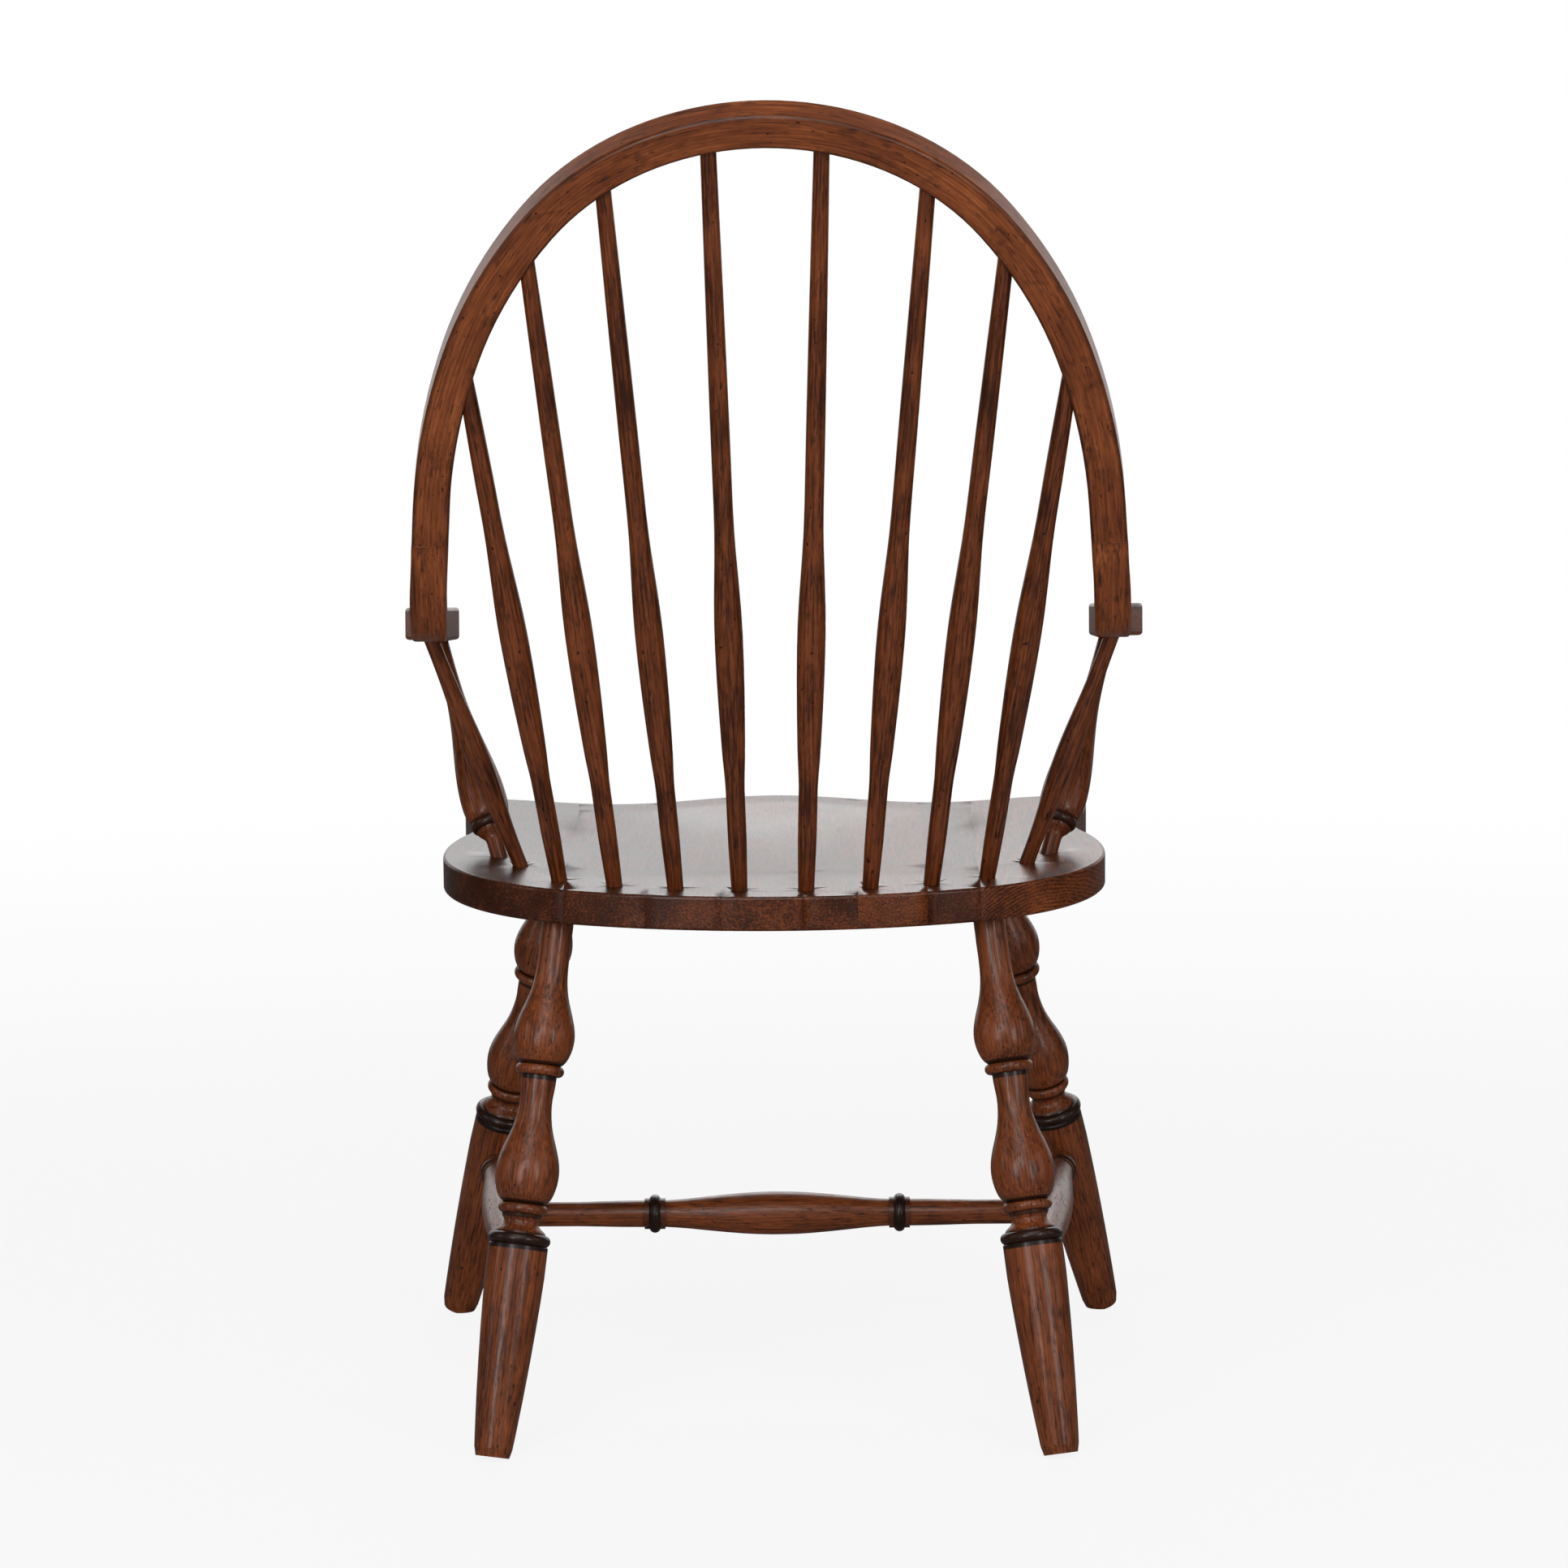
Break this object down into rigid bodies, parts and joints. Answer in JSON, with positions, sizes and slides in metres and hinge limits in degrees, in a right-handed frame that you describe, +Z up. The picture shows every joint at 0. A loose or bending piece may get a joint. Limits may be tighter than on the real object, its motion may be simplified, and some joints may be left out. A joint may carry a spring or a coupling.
{
  "type": "windsor armchair",
  "caption": "Wooden Windsor armchair with a saddled plank seat, arched bow back filled with turned spindles, arm rests with paddles, splayed turned legs and H-shaped stretchers.",
  "frame": {"origin": "on the floor, in the middle of the chair's footprint and reach", "axes": "+Z up, +X towards the sitter's left, +Y towards the back of the chair"},
  "size_m": [0.6062, 0.7042, 1.0617],
  "materials": {
    "seat_wood": "semi-gloss lacquer over reddish-brown stain",
    "turned_wood": "semi-gloss lacquer over reddish-brown stain, darker in the beads",
    "bow_wood": "semi-gloss lacquer over reddish-brown stain, darker on the edges",
    "dowel_wood": "bare"
  },
  "bodies": {
    "root": {"seat_board_1": "seat_wood", "seat_board_2": "seat_wood", "seat_board_3": "seat_wood", "seat_board_4": "seat_wood", "seat_board_5": "seat_wood", "seat_board_6": "seat_wood", "seat_board_7": "seat_wood", "seat_board_8": "seat_wood", "bow": "bow_wood", "arm_left": "bow_wood", "arm_right": "bow_wood", "arm_dowels_left": "dowel_wood", "arm_dowels_right": "dowel_wood", "back_spindle_1": "turned_wood", "back_spindle_2": "turned_wood", "back_spindle_3": "turned_wood", "back_spindle_4": "turned_wood", "back_spindle_5": "turned_wood", "back_spindle_6": "turned_wood", "back_spindle_7": "turned_wood", "back_spindle_8": "turned_wood", "arm_spindle_left": "turned_wood", "arm_spindle_right": "turned_wood", "arm_post_left": "turned_wood", "arm_post_right": "turned_wood", "leg_front_left": "turned_wood", "leg_front_right": "turned_wood", "leg_rear_left": "turned_wood", "leg_rear_right": "turned_wood", "side_stretcher_left": "turned_wood", "side_stretcher_right": "turned_wood", "centre_stretcher": "turned_wood"}
  },
  "joints": []
}
